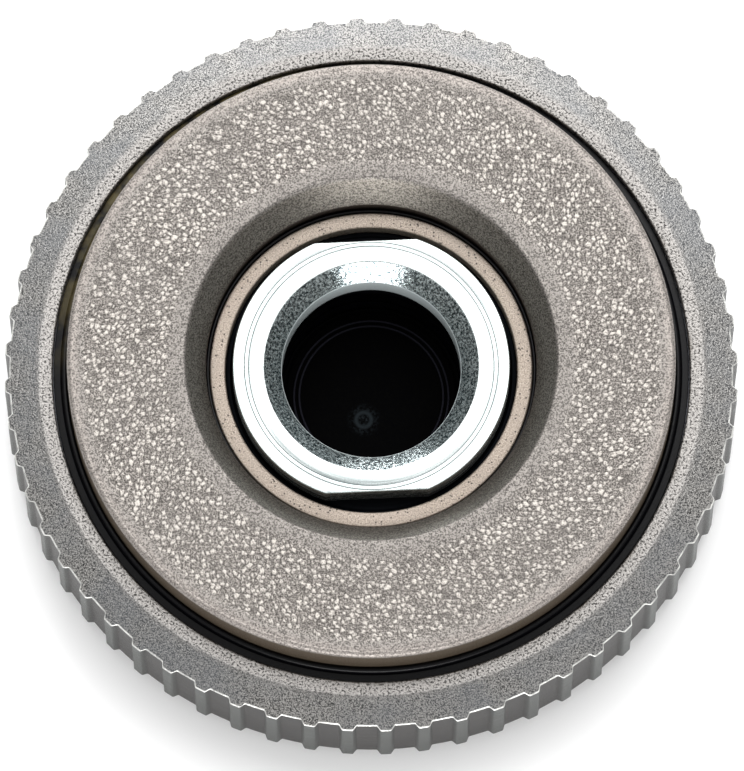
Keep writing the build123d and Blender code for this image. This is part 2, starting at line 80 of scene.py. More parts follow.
def rounded(corners):
    """(radius, height) points of a closed outline whose corners are (radius, height, fillet)."""
    points = []
    for i, (r, z, fillet) in enumerate(corners):
        here = np.array((r, z))
        before = np.array(corners[i - 1][:2]) - here
        after = np.array(corners[(i + 1) % len(corners)][:2]) - here
        if fillet == 0:
            points.append(here)
            continue
        a, b = before / np.linalg.norm(before), after / np.linalg.norm(after)
        half = math.acos(np.clip(a @ b, -1, 1)) / 2
        reach = fillet / math.tan(half)
        centre = here + (a + b) / np.linalg.norm(a + b) * fillet / math.sin(half)
        start, end = here + a * reach - centre, here + b * reach - centre
        for t in np.linspace(0, 1, FILLET_STEPS + 1):
            arm = start * (1 - t) + end * t
            points.append(centre + arm / np.linalg.norm(arm) * fillet)
    return np.array(points)


def rows_of(corners):
    """How many points rounded() makes of these corners."""
    return sum(FILLET_STEPS + 1 if fillet else 1 for _, _, fillet in corners)


def spin(outline, columns):
    """Grids of radius and height that repeat an outline all the way round, and their angles."""
    radius = np.repeat(outline[:, :1], columns, 1)
    height = np.repeat(outline[:, 1:], columns, 1)
    angles = np.linspace(0, 2 * math.pi, columns, endpoint=False)
    return radius, height, angles


def mesh_object(name, body, slot, vertices, faces, node):
    """A piece of vertices in mm and quads, which rides on a body and replaces a CAD node."""
    mesh = bpy.data.meshes.new(name)
    mesh.vertices.add(len(vertices))
    mesh.vertices.foreach_set("co", (np.asarray(vertices, float) * MM).ravel())
    mesh.loops.add(faces.size)
    mesh.loops.foreach_set("vertex_index", faces.ravel())
    mesh.polygons.add(len(faces))
    mesh.polygons.foreach_set("loop_start", np.arange(0, faces.size, faces.shape[1]))
    mesh.polygons.foreach_set("use_smooth", np.ones(len(faces), bool))
    mesh.update(calc_edges=True)
    mesh.validate()
    mesh.set_sharp_from_angle(angle=SHARP_EDGE)
    piece = bpy.data.objects.new(name, mesh)
    bpy.context.scene.collection.objects.link(piece)
    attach(piece, body)
    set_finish(piece, slot)
    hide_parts(node)
    return piece


def ring_faces(rows, columns):
    """Quads of a grid that closes in both directions, outward when the outline runs clockwise."""
    row, column = np.meshgrid(np.arange(rows), np.arange(columns), indexing="ij")
    up, on = (row + 1) % rows, (column + 1) % columns
    corners = [row * columns + column, up * columns + column, up * columns + on, row * columns + on]
    return np.stack(corners, -1).reshape(-1, 4)


def turned(name, body, slot, radius, height, angles, node):
    """A closed ring: radius and height are grids of (outline point, angle)."""
    x, y = radius * np.cos(angles), radius * np.sin(angles)
    vertices = np.stack([x, y, height], -1).reshape(-1, 3)
    return mesh_object(name, body, slot, vertices, ring_faces(*radius.shape), node)


def lathe(name, body, slot, corners, node):
    """A closed ring of one outline all the way round."""
    radius, height, angles = spin(rounded(corners), COLUMNS)
    return turned(name, body, slot, radius, height, angles, node)


def add_layers(piece, layers):
    """Stores grids of values that the piece's finish reads, under their names."""
    for name, values in layers.items():
        layer = piece.data.attributes.new(name, "FLOAT", "POINT")
        layer.data.foreach_set("value", values.ravel())


def smooth(value, low, high):
    """0 up to low, 1 from high on, and an S-curve between them."""
    t = np.clip((value - low) / (high - low), 0, 1)
    return t * t * (3 - 2 * t)


# ---- Material nodes -----------------------------------------------------------------------------

ARC_R = 15 * MM  # where round_place() shows arcs at their true length


def tone(red, green, blue):
    """A linear colour from 0 to 255 display values."""
    def linear(v):
        v /= 255
        return v / 12.92 if v <= 0.04045 else ((v + 0.055) / 1.055) ** 2.4
    return (linear(red), linear(green), linear(blue), 1.0)


class Shade:
    """A material's node tree, with short calls for the nodes that the finishes share."""

    def __init__(self, name):
        self.material = bpy.data.materials.new(name)
        self.material.use_nodes = True
        self.tree = self.material.node_tree
        self.surface = self.tree.nodes["Principled BSDF"]
        self.place = self.add("ShaderNodeTexCoord").outputs["Object"]

    def add(self, kind, inputs=(), **settings):
        node = self.tree.nodes.new(kind)
        for key, value in settings.items():
            setattr(node, key, value)
        for key, value in dict(inputs).items():
            self.feed(node.inputs[key], value)
        return node

    def feed(self, socket, value):
        if isinstance(value, bpy.types.NodeSocket):
            self.tree.links.new(value, socket)
        else:
            socket.default_value = value

    def noise(self, size_mm, detail=3.0, roughness=0.6, distortion=0.0):
        """Noise whose blobs are about size_mm across, from 0 to 1."""
        inputs = {
            "Vector": self.place,
            "Scale": 1 / (size_mm * MM),
            "Detail": detail,
            "Roughness": roughness,
            "Distortion": distortion,
        }
        return self.add("ShaderNodeTexNoise", inputs).outputs[0]

    def turning(self, lines_per_m, stretch, detail):
        """Noise drawn out into lines round the thread's axis, from 0 to 1."""
        mapped = {"Vector": self.round_place(), "Scale": (1, stretch, 1)}
        lines = self.add("ShaderNodeMapping", mapped).outputs[0]
        inputs = {"Vector": lines, "Scale": lines_per_m, "Detail": detail}
        return self.add("ShaderNodeTexNoise", inputs).outputs[0]

    def cells(self, size_mm):
        """Distance to the nearest of random points about size_mm apart, in shares of size_mm."""
        inputs = {"Vector": self.place, "Scale": 1 / (size_mm * MM)}
        return self.add("ShaderNodeTexVoronoi", inputs).outputs["Distance"]

    def math(self, operation, a, b=0.0):
        return self.add("ShaderNodeMath", {0: a, 1: b}, operation=operation).outputs[0]

    def remap(self, value, low, high, to_low=0.0, to_high=1.0):
        inputs = {"Value": value, "From Min": low, "From Max": high, "To Min": to_low, "To Max": to_high}
        return self.add("ShaderNodeMapRange", inputs).outputs[0]

    def mix(self, factor, a, b):
        """Colour a where factor is 0 and b where it is 1; sockets 6, 7 and 2 are the colour ones."""
        node = self.add("ShaderNodeMix", data_type="RGBA")
        self.feed(node.inputs["Factor"], factor)
        self.feed(node.inputs[6], a)
        self.feed(node.inputs[7], b)
        return node.outputs[2]

    def attribute(self, name):
        return self.add("ShaderNodeAttribute", attribute_name=name).outputs["Fac"]

    def height(self):
        """Height in mm."""
        split = self.add("ShaderNodeSeparateXYZ", {0: self.place})
        return self.math("MULTIPLY", split.outputs[2], 1 / MM)

    def radius(self):
        """Distance from the thread's axis in mm."""
        flat = self.add("ShaderNodeVectorMath", {0: self.place, 1: (1, 1, 0)}, operation="MULTIPLY")
        length = self.add("ShaderNodeVectorMath", {0: flat.outputs[0]}, operation="LENGTH")
        return self.math("MULTIPLY", length.outputs["Value"], 1 / MM)

    def round_place(self):
        """Coordinates (radius, arc length, height), so that stretched noise follows the turning."""
        split = self.add("ShaderNodeSeparateXYZ", {0: self.place})
        angle = self.math("ARCTAN2", split.outputs[1], split.outputs[0])
        arc = self.math("MULTIPLY", angle, ARC_R)
        radius = self.math("MULTIPLY", self.radius(), MM)
        return self.add("ShaderNodeCombineXYZ", {0: radius, 1: arc, 2: split.outputs[2]}).outputs[0]

    def bump(self, value, depth_mm, strength, under=None):
        inputs = {"Height": value, "Distance": depth_mm * MM, "Strength": strength}
        if under:
            inputs["Normal"] = under
        return self.add("ShaderNodeBump", inputs).outputs[0]

    def finish(self, color, roughness, metallic=0.0, normal=None, specular_ior_level=None):
        self.feed(self.surface.inputs["Base Color"], color)
        self.feed(self.surface.inputs["Roughness"], roughness)
        self.feed(self.surface.inputs["Metallic"], metallic)
        if normal:
            self.feed(self.surface.inputs["Normal"], normal)
        if specular_ior_level is not None:
            self.surface.inputs["Specular IOR Level"].default_value = specular_ior_level
        return self.material


def blasted_metal():
    """Hand ring: speckled bright front lip, greyer bevel, machined grooves and a bright front edge, partly
    wear and partly a painted highlight.
    """
    s = Shade("blasted_metal")
    radius = s.radius()
    lip = s.remap(radius, 22.3, 21.8)
    side = s.attribute("side")
    groove = s.attribute("groove")
    edge = s.attribute("edge")
    coarse = s.noise(0.15, detail=2, roughness=0.7)
    fine = s.noise(0.1, detail=2, roughness=0.8)
    cloud = s.noise(4.0, detail=3)
    bevel_color = s.mix(s.remap(fine, 0.4, 0.58), tone(48, 48, 48), tone(152, 150, 147))
    bevel_color = s.mix(s.remap(cloud, 0.35, 0.65, 0, 0.4), bevel_color, tone(104, 107, 111))
    lip_color = s.mix(s.remap(coarse, 0.37, 0.53), tone(34, 33, 32), tone(144, 141, 138))
    front = s.mix(lip, bevel_color, lip_color)
    turning = s.turning(12000, stretch=0.03, detail=2)
    side_color = s.mix(groove, tone(70, 74, 72), tone(26, 24, 23))
    side_color = s.mix(s.remap(turning, 0.35, 0.65, 0, 0.3), side_color, tone(98, 94, 90))
    color = s.mix(side, front, side_color)
    near_gap = s.remap(radius, RING_MOUTH_R + 0.32, RING_MOUTH_R)
    dirt = s.math("MULTIPLY", near_gap, s.remap(s.noise(2.2), 0.52, 0.7))
    color = s.mix(s.math("MULTIPLY", dirt, 0.7), color, tone(54, 44, 28))
    # The bright front edge is partly wear and partly a painted highlight where the rounded edge catches the
    # light.
    wear_and_highlight = s.math("MULTIPLY", edge, s.remap(s.noise(0.6), 0.35, 0.6, 0.4, 1.0))
    color = s.mix(wear_and_highlight, color, tone(226, 226, 222))
    roughness = s.mix(side, s.remap(fine, 0.35, 0.65, 0.46, 0.34), s.remap(turning, 0.3, 0.7, 0.38, 0.5))
    grain = s.bump(coarse, 0.05, strength=0.7)
    normal = s.bump(fine, 0.02, strength=0.6, under=grain)
    return s.finish(color, roughness, metallic=0.88, normal=normal)


def granular_cast():
    """Pressure plate: pale flattened granules on a darker ground with painted shade in the crevices between
    them, smooth lands, a bright rim and painted shade on the mouth's wall.
    """
    s = Shade("granular_cast")
    radius = s.radius()
    height = s.height()
    grain = s.attribute("grain")
    crevice_shade = s.attribute("crevice_shade")
    field = s.attribute("field")
    specks = s.noise(0.12, detail=2, roughness=0.75)
    cloud = s.noise(7.0, detail=2)
    ground = s.mix(s.remap(specks, 0.42, 0.57), tone(72, 68, 65), tone(156, 150, 144))
    granule = s.mix(s.remap(specks, 0.36, 0.5), tone(130, 125, 119), tone(192, 186, 179))
    face = s.mix(grain, ground, granule)
    # Painted shade: the crevices between granules are darkened.
    face = s.mix(s.math("MULTIPLY", crevice_shade, 0.7), face, tone(44, 39, 36))
    land = s.mix(s.remap(specks, 0.4, 0.58), tone(72, 68, 65), tone(136, 131, 126))
    top = s.mix(field, land, face)
    top = s.mix(s.remap(cloud, 0.35, 0.65, 0, 0.15), top, tone(120, 116, 112))
    cone_grain = s.mix(s.remap(specks, 0.4, 0.6), tone(78, 74, 69), tone(146, 140, 132))
    in_mouth = s.remap(radius, PLATE_BEVEL_R, PLATE_BEVEL_R - 0.2)
    inside = s.math("MULTIPLY", in_mouth, s.remap(height, 13.0, 12.9))
    color = s.mix(inside, top, cone_grain)
    # Painted shade: the mouth's wall under the bevel is painted dark brown.
    wall = s.math("MULTIPLY", s.remap(radius, 11.1, 10.95), s.remap(height, 11.0, 10.9))
    color = s.mix(wall, color, tone(30, 22, 18))
    rim = s.math("MULTIPLY", s.remap(radius, 19.2, 19.6), s.remap(height, 12.4, 12.8))
    color = s.mix(s.math("MULTIPLY", rim, s.remap(specks, 0.35, 0.6, 0.1, 0.6)), color, tone(160, 152, 146))
    outer = s.math("MULTIPLY", s.remap(radius, 19.9, 20.0), s.remap(height, 12.7, 12.4))
    color = s.mix(outer, color, tone(80, 70, 58))
    roughness = s.mix(inside, s.remap(specks, 0.3, 0.7, 0.65, 0.4), s.remap(specks, 0.3, 0.7, 0.4, 0.28))
    strength = s.math("MULTIPLY", specks, s.math("ADD", s.math("MULTIPLY", field, 0.8), 0.3))
    metallic = s.remap(inside, 0, 1, 0.6, 0.85)
    return s.finish(color, roughness, metallic=metallic, normal=s.bump(strength, 0.04, strength=0.9))


def zinc_plate():
    """Hub: bright zinc with turning lines, painted shade on the deep thread and the shoulder, and a painted
    highlight on the pale matte bore wall.
    """
    s = Shade("zinc_plate")
    radius = s.radius()
    height = s.height()
    turning = s.turning(9000, stretch=0.01, detail=3)
    mottle = s.noise(0.16, detail=3, roughness=0.7)
    in_mouth = s.remap(radius, NOSE_MOUTH_R, NOSE_MOUTH_R - 0.05)
    cone = s.math("MULTIPLY", in_mouth, s.remap(radius, 5.9, 5.95))
    # Painted highlight: the bore wall is pale and mostly not metallic, so it shows bright where the metal
    # would reflect dark.
    wall = s.math("MULTIPLY", s.remap(radius, 5.98, 5.94), s.remap(height, 7.4, 7.8))
    # Painted shade: the thread deep in the bore and the shoulder round the nose's foot are painted near
    # black.
    thread_shade = s.math("MULTIPLY", s.remap(height, 7.7, 7.4), s.remap(radius, 7.6, 7.5))
    shoulder = s.math("MULTIPLY", s.remap(height, 8.8, 8.7), s.remap(radius, 8.2, 8.3))
    dark = s.math("MAXIMUM", thread_shade, shoulder)
    bright = s.mix(s.remap(turning, 0.35, 0.65), tone(150, 158, 158), tone(184, 190, 189))
    speckled = s.mix(s.remap(mottle, 0.4, 0.6), tone(52, 64, 68), tone(206, 216, 217))
    color = s.mix(cone, bright, speckled)
    for turned_line in NOSE_LINES:
        away = s.math("ABSOLUTE", s.math("SUBTRACT", radius, turned_line))
        on_face = s.math("MULTIPLY", s.remap(away, 0.05, 0.02), s.remap(height, 10.8, 10.84))
        color = s.mix(s.math("MULTIPLY", on_face, 0.8), color, tone(70, 78, 78))
    # Painted highlight: pale matte tone on the bore wall.
    color = s.mix(wall, color, tone(176, 184, 185))
    # Painted shade: near black deep in the bore and on the shoulder.
    color = s.mix(dark, color, s.mix(shoulder, tone(3, 3, 4), tone(9, 10, 12)))
    roughness = s.mix(cone, s.remap(turning, 0.3, 0.7, 0.2, 0.3), s.remap(mottle, 0.35, 0.65, 0.15, 0.27))
    roughness = s.mix(dark, roughness, s.remap(turning, 0.3, 0.7, 0.3, 0.5))
    metallic = s.math("SUBTRACT", 1.0, s.math("MULTIPLY", wall, 0.9))
    s.surface.inputs["Anisotropic"].default_value = 0.9
    s.surface.inputs["Anisotropic Rotation"].default_value = 0.25
    tangent = s.add("ShaderNodeTangent", direction_type="RADIAL", axis="Z")
    s.feed(s.surface.inputs["Tangent"], tangent.outputs[0])
    fine = s.bump(turning, 0.004, strength=0.5)
    normal = s.bump(s.math("MULTIPLY", mottle, cone), 0.02, strength=0.7, under=fine)
    return s.finish(color, roughness, metallic=metallic, normal=normal)


def sintered_bronze():
    """Guide bush: warm tan with fine open pores."""
    s = Shade("sintered_bronze")
    pores = s.remap(s.cells(0.24), 0.18, 0.32)
    sparse = s.remap(s.noise(0.6, detail=1), 0.46, 0.56)
    open_pore = s.math("MULTIPLY", s.math("SUBTRACT", 1.0, pores), sparse)
    fine = s.noise(0.09, detail=2)
    color = s.mix(s.remap(fine, 0.35, 0.65), tone(112, 99, 87), tone(172, 160, 147))
    color = s.mix(s.remap(s.noise(3.0), 0.4, 0.65, 0, 0.35), color, tone(140, 128, 118))
    color = s.mix(open_pore, color, tone(38, 26, 18))
    roughness = s.remap(fine, 0.3, 0.7, 0.5, 0.36)
    return s.finish(color, roughness, metallic=0.35, normal=s.bump(fine, 0.01, strength=0.5))


def black_rubber():
    """Seals: black with faint mould texture, dust, and grime packed on one side."""
    s = Shade("black_rubber")
    fine = s.noise(0.12, detail=2)
    pale_patch = s.remap(s.noise(0.35, detail=4, roughness=0.7), 0.6, 0.74, 0, 0.3)
    split = s.add("ShaderNodeSeparateXYZ", {0: s.place})
    across = s.math("SUBTRACT", split.outputs[1], split.outputs[0])
    packed = s.math("MULTIPLY", s.remap(across, 20 * MM, 28 * MM), s.remap(s.noise(1.6), 0.4, 0.6))
    color = s.mix(pale_patch, tone(2, 2, 4), tone(30, 28, 26))
    color = s.mix(packed, color, tone(78, 70, 44))
    roughness = s.remap(fine, 0.3, 0.7, 0.3, 0.45)
    return s.finish(color, roughness, normal=s.bump(fine, 0.008, strength=0.4), specular_ior_level=0.15)


def black_plastic():
    """Bore cap: moulded black plastic, with painted highlights on its two low rings and a painted
    reflection at one spot of its face.
    """
    s = Shade("black_plastic")
    grain = s.noise(0.2, detail=3, roughness=0.7)
    radius = s.radius()
    color = s.mix(s.remap(grain, 0.3, 0.7), tone(1, 1, 1), tone(3, 3, 4))
    # Painted highlights: the two low rings are painted pale bluish grey.
    for ring in CAP_RINGS:
        away = s.math("ABSOLUTE", s.math("SUBTRACT", radius, ring))
        color = s.mix(s.remap(away, 0.09, 0.04, 0, 0.6), color, tone(46, 46, 54))
    # Painted reflection: a pale ring and a pale patch round one spot of the face.
    reflection_spot = (-0.5 * MM, -1.6 * MM, 1.9 * MM)
    from_reflection_spot = s.add("ShaderNodeVectorMath", {0: s.place, 1: reflection_spot}, operation="DISTANCE").outputs["Value"]
    reflection_ring = s.remap(s.math("ABSOLUTE", s.math("SUBTRACT", from_reflection_spot, 0.5 * MM)), 0.2 * MM, 0.05 * MM)
    pale_patch = s.math("MULTIPLY", s.remap(from_reflection_spot, 1.2 * MM, 0.4 * MM), s.remap(grain, 0.45, 0.65))
    color = s.mix(s.math("MAXIMUM", reflection_ring, pale_patch), color, tone(32, 37, 40))
    roughness = s.remap(grain, 0.3, 0.7, 0.6, 0.8)
    return s.finish(color, roughness, normal=s.bump(grain, 0.015, strength=0.5), specular_ior_level=0.02)


def steel(name, dark, light, rough_low, rough_high, turned_mm):
    """Ground or pressed metal: turning lines round the axis, clouds and fine scratches."""
    s = Shade(name)
    turning = s.turning(1 / (turned_mm * MM), stretch=0.02, detail=3)
    cloud = s.noise(2.5, detail=4)
    color = s.mix(s.remap(turning, 0.3, 0.7), tone(*dark), tone(*light))
    color = s.mix(s.remap(cloud, 0.4, 0.7, 0, 0.3), color, tone(*dark))
    roughness = s.remap(turning, 0.3, 0.7, rough_low, rough_high)
    return s.finish(color, roughness, metallic=1.0, normal=s.bump(turning, 0.005, strength=0.5))


def slide_plastic():
    """Thrust washer and slide band: cream bearing plastic with a waxy grain."""
    s = Shade("slide_plastic")
    grain = s.noise(0.3, detail=3)
    color = s.mix(s.remap(grain, 0.3, 0.7), tone(196, 188, 170), tone(214, 208, 192))
    return s.finish(color, s.remap(grain, 0.3, 0.7, 0.4, 0.55), normal=s.bump(grain, 0.01, strength=0.4))


def felt():
    """Rear seal: dense grey felt."""
    s = Shade("felt")
    fibre = s.noise(0.12, detail=5, roughness=0.8, distortion=2.0)
    color = s.mix(s.remap(fibre, 0.3, 0.7), tone(52, 49, 46), tone(112, 106, 98))
    return s.finish(color, s.remap(fibre, 0.3, 0.7, 0.95, 0.85), normal=s.bump(fibre, 0.05, strength=0.8))


FINISHES = {
    "zinc_steel": zinc_plate(),
    "sintered_bronze": sintered_bronze(),
    "blasted_ring": blasted_metal(),
    "cast_plate": granular_cast(),
    "black_rubber": black_rubber(),
    "black_plastic": black_plastic(),
    "bearing_plastic": slide_plastic(),
    "felt": felt(),
    "hard_steel": steel("hard_steel", (120, 120, 122), (170, 170, 172), 0.25, 0.4, 0.08),
    "spring_steel": steel("spring_steel", (70, 72, 78), (120, 122, 128), 0.25, 0.4, 0.1),
    "screw_steel": steel("screw_steel", (34, 34, 36), (62, 62, 66), 0.3, 0.45, 0.1),
    "cover_steel": steel("cover_steel", (104, 104, 106), (150, 149, 147), 0.3, 0.48, 0.12),
    "ball_steel": steel("ball_steel", (196, 198, 202), (228, 229, 232), 0.04, 0.1, 0.3),
    "cage_brass": steel("cage_brass", (168, 128, 66), (206, 168, 98), 0.28, 0.42, 0.1),
}


# ---- Hand ring ----------------------------------------------------------------------------------

RIDGES = 60
RIDGE_PITCH = 360 / RIDGES
RIDGE_PHASE = 2.3  # degrees, angle of one crest
RIDGE_HEIGHT = 0.33
CREST_END = 0.7  # degrees from a crest's middle to where its flank begins
FLANK_END = 1.5
# Degrees from a crest's middle to a groove's middle, close together on the flank
RIDGE_STEPS = (0, 0.4, 0.72, 0.84, 0.94, 1.03, 1.12, 1.21, 1.3, 1.4, 1.52, 1.9, 2.4, 3)
RING_BEVEL_R = 22.0
BEVEL_DROP = 0.65
EDGE_BAND = 0.1  # mm, width of the bright edge (wear and painted highlight) on either side of it
EDGE_CORNER = 8  # how many corners of the outline come before the bright edge


def ridge_angles():
    """Angles round the ring in degrees, over all the ridges."""
    half = np.array(RIDGE_STEPS)
    one = np.concatenate([half, (RIDGE_PITCH - half[1:-1])[::-1]])
    return np.concatenate([RIDGE_PHASE + ridge * RIDGE_PITCH + one for ridge in range(RIDGES)])


def hand_ring_corners(r, z, fall, low, high):
    """The ring's outline where its bright front edge lies at radius r and height z."""
    return [
        (19.0, 1.25, 0),
        (19.0, 4.45, 0),
        (19.42, 4.45, 0),
        (19.42, 6.7, 0),
        (RING_MOUTH_R, 6.7, 0),
        (RING_MOUTH_R, high, 0.14),
        (RING_BEVEL_R, high, 0.35),
        (r - EDGE_BAND, z + EDGE_BAND * fall, 0),
        (r, z, 0.09),
        (r, z - EDGE_BAND, 0),
        (r, low + 0.36, 0.2),
        (r - 0.36, low, 0.12),
        (20.8, low, 0.1),
        (20.8, 1.25, 0),
    ]


def make_hand_ring():
    """Ring whose outer side follows the ridges, with a bevel and a bright front edge."""
    outer, low, high = size_of("hand_ring")
    degrees_round = ridge_angles()
    from_crest = np.abs((degrees_round - RIDGE_PHASE + RIDGE_PITCH / 2) % RIDGE_PITCH - RIDGE_PITCH / 2)
    deep = smooth(from_crest, CREST_END, FLANK_END)
    outer_r = outer - RIDGE_HEIGHT * deep
    fall = BEVEL_DROP / (outer - RING_BEVEL_R)
    edge_z = high - (outer_r - RING_BEVEL_R) * fall
    outlines = [hand_ring_corners(r, z, fall, low, high) for r, z in zip(outer_r, edge_z)]
    grid = np.stack([rounded(corners) for corners in outlines], 1)
    ring = turned("hand_ring_body", "hand_ring", "blasted_ring", grid[..., 0], grid[..., 1],
                  np.radians(degrees_round), "hand_ring")

    # What the finish tells apart: the ridged side, its grooves and the bright front edge
    rows = np.arange(len(grid))[:, None]
    first_edge_row = rows_of(outlines[0][:EDGE_CORNER])
    last_edge_row = first_edge_row + FILLET_STEPS
    edge = (rows >= first_edge_row) & (rows <= last_edge_row)
    side = rows >= last_edge_row
    all_round = np.ones_like(deep)
    add_layers(ring, {"edge": edge * all_round, "side": side * all_round, "groove": side * deep})
    return ring


# ---- Pressure plate -----------------------------------------------------------------------------

GRAIN_SIZE = 0.33  # mm between the middles of neighbouring granules
GRAIN_STRAY = 0.18  # share of the granules that break the even spread of raised and low ones
GRAIN_RAISED = (0.52, 1)  # range of a raised granule's height, in shares of GRAIN_RELIEF
GRAIN_LOW = (0, 0.46)
GRAIN_SHOWN = (0.42, 0.62)  # heights between which the colour goes from ground to granule
GRAIN_RELIEF = 0.045
# How much further the second nearest granule is than the nearest, in mm:
GRAIN_GAP = 0.03  # up to this the ground lies bare
GRAIN_SHOULDER = 0.07  # over this much more the granule rises
CREVICE = 0.13  # up to this the painted shade line between granules shows
FIELD_IN = 13.15
FIELD_OUT = 19.3
FIELD_FADE = 0.5
FIELD_STEP = 0.085
PLATE_R = 20.05
PLATE_BORE_R = 10.7
PLATE_MOUTH_R = 10.92
BALL_CIRCLE_R = 15.6
BALL_Z = 7.0
RACE_R = 1.3
RACE_STEPS = 17
PINS = 3
PIN_START = math.radians(30)  # angle of the first guide pin
PIN_CIRCLE_R = 10.67
PIN_SEAT_R = 0.75
PIN_SEAT_TOP = 9.25


def granules(rng):
    """Middles of the granules over the textured band, and how far each stands up, from 0 to 1."""
    side = np.arange(-FIELD_OUT, FIELD_OUT, GRAIN_SIZE)
    across, along = np.meshgrid(np.arange(len(side)), np.arange(len(side)))
    x = side[across] + rng.uniform(-0.5, 0.5, across.shape) * GRAIN_SIZE
    y = side[along] + rng.uniform(-0.5, 0.5, across.shape) * GRAIN_SIZE
    raised = ((across + along) % 2 == 0) ^ (rng.uniform(0, 1, across.shape) < GRAIN_STRAY)
    raised_heights = rng.uniform(*GRAIN_RAISED, across.shape)
    stands = np.where(raised, raised_heights, rng.uniform(*GRAIN_LOW, across.shape))
    keep = np.hypot(x, y) > FIELD_IN - GRAIN_SIZE
    return np.stack([x[keep], y[keep]], -1), stands[keep]


def plate_corners(outer, low, high):
    """The plate's outline, from its hub side over the mouth, face and rim to the ball race."""
    face = [(r, high, 0) for r in np.arange(FIELD_OUT, FIELD_IN, -FIELD_STEP)]
    half = math.acos((low - BALL_Z) / RACE_R)
    race = [(BALL_CIRCLE_R + RACE_R * math.sin(turn), BALL_Z + RACE_R * math.cos(turn), 0)
            for turn in np.linspace(half, -half, RACE_STEPS)]
    return [
        (11.5, low, 0),
        (11.5, 8.05, 0),
        (PLATE_BORE_R, 8.05, 0),
        (PLATE_BORE_R, PIN_SEAT_TOP - 0.01, 0),
        (PLATE_BORE_R, PIN_SEAT_TOP, 0),
        (PLATE_BORE_R, 9.4, 0),
        (PLATE_MOUTH_R, 9.4, 0),
        (PLATE_MOUTH_R, 10.94, 0.08),
        (PLATE_BEVEL_R, high, 0.2),
        *reversed(face),
        (PLATE_R - 0.42, high, 0),
        (PLATE_R - 0.38, high - 0.012, 0),
        (PLATE_R - 0.34, high, 0.02),
        (PLATE_R, high, 0.3),
        (PLATE_R, 8.1, 0),
        (outer, 8.1, 0.05),
        (outer, low, 0.05),
        *race,
    ]


def open_pin_seats(radius, height, angles):
    """Widens the plate's bore where the guide pins stand in it."""
    from_pin = (angles - PIN_START + math.pi / PINS) % (2 * math.pi / PINS) - math.pi / PINS
    across = PIN_CIRCLE_R * np.sin(from_pin)
    seat = PIN_CIRCLE_R * np.cos(from_pin) + np.sqrt(np.maximum(0, PIN_SEAT_R ** 2 - across ** 2))
    seat = np.where(np.abs(across) < PIN_SEAT_R, seat, PLATE_BORE_R)
    seated = (np.abs(radius - PLATE_BORE_R) < TINY) & (height < PIN_SEAT_TOP)
    return np.where(seated, np.maximum(radius, seat), radius)


def press_granules(radius, angles, field):
    """Grids of how far the face stands up, and of how much painted shade lies in the crevices, both from 0
    to 1.
    """
    middles, stands = granules(np.random.default_rng(SEED))
    tree = kdtree.KDTree(len(middles))
    for i, (x, y) in enumerate(middles):
        tree.insert((x, y, 0), i)
    tree.balance()
    grain = np.zeros_like(radius)
    crevice_shade = np.zeros_like(radius)
    for row in np.flatnonzero(field[:, 0] > 0):
        for column, angle in enumerate(angles):
            x = radius[row, column] * math.cos(angle)
            y = radius[row, column] * math.sin(angle)
            (_, first, near), (_, _, far) = tree.find_n((x, y, 0), 2)
            rise = max(0, far - near - GRAIN_GAP) / GRAIN_SHOULDER
            grain[row, column] = stands[first] * min(1, rise)
            crevice_shade[row, column] = max(0, 1 - (far - near) / CREVICE)
    return grain, crevice_shade


def make_pressure_plate():
    """Turned plate whose face carries a band of pressed granules."""
    outer, low, high = size_of("pressure_plate")
    columns = int(2 * math.pi * (FIELD_IN + FIELD_OUT) / 2 / FIELD_STEP)
    radius, height, angles = spin(rounded(plate_corners(outer, low, high)), columns)
    radius = open_pin_seats(radius, height, angles)

    inner_fade = smooth(radius, FIELD_IN, FIELD_IN + FIELD_FADE)
    outer_fade = smooth(-radius, -FIELD_OUT, -FIELD_OUT + FIELD_FADE)
    field = inner_fade * outer_fade * (height > high - TINY)
    grain, crevice_shade = press_granules(radius, angles, field)
    height = height - GRAIN_RELIEF * field * (1 - grain)
    plate = turned("pressure_plate_body", "pressure_plate", "cast_plate", radius, height, angles,
                   "pressure_plate")
    shown = smooth(grain, *GRAIN_SHOWN) * field
    add_layers(plate, {"grain": shown, "crevice_shade": crevice_shade * field, "field": field})
    return plate


# ---- Hub ----------------------------------------------------------------------------------------

HUB_BORE_R = 5.918
NOSE_R = 9.15
NOSE_FLATS = 17.0
FLAT_TURN = math.radians(2.6)
FLAT_BEVEL = 0.07
SHOULDER_R = 9.62
SHOULDER_Z = 8.6
CORE_R = 11.1
LINE_HALF = 0.02
LINE_DEPTH = 0.008
THREAD_PITCH = 2.0
THREAD_DEPTH = 1.05
THREAD_CREST = 0.22  # share of half a pitch that the crest takes
THREAD_FLANK = 0.62  # share of half a pitch that a flank takes
THREAD_IN = (2.3, 3.0)  # heights between which the groove deepens
THREAD_OUT = (6.9, 7.6)  # heights between which it runs out again
THREAD_STEP = 0.1
SLOT_CIRCLE_R = 13.95
SLOT_R = 0.8
SLOT_SWEEP = 40.0  # degrees
SLOT_BOTTOM = 3.0
SLOT_TOP = 4.3
BOLT_CIRCLE_R = 17.0
SCREWS = 4
SCREW_HOLE_R = 0.97
SCREW_HOLE_TOP = 3.5
SPANNER_HOLE_R = 1.5
SPANNER_HOLE_TOP = 2.5
CUT_PAST = 1  # mm that a hole's cut starts below the hub


def thread_depth(angle, height):
    """How far the thread's groove is cut at an angle and height: a helix of the 60 degree profile."""
    along = (height / THREAD_PITCH - angle / (2 * math.pi)) % 1
    groove = 1 - np.abs(along - 0.5) * 2
    cut = np.clip((groove - THREAD_CREST) / THREAD_FLANK, 0, 1) * THREAD_DEPTH
    return cut * smooth(height, *THREAD_IN) * (1 - smooth(height, *THREAD_OUT))


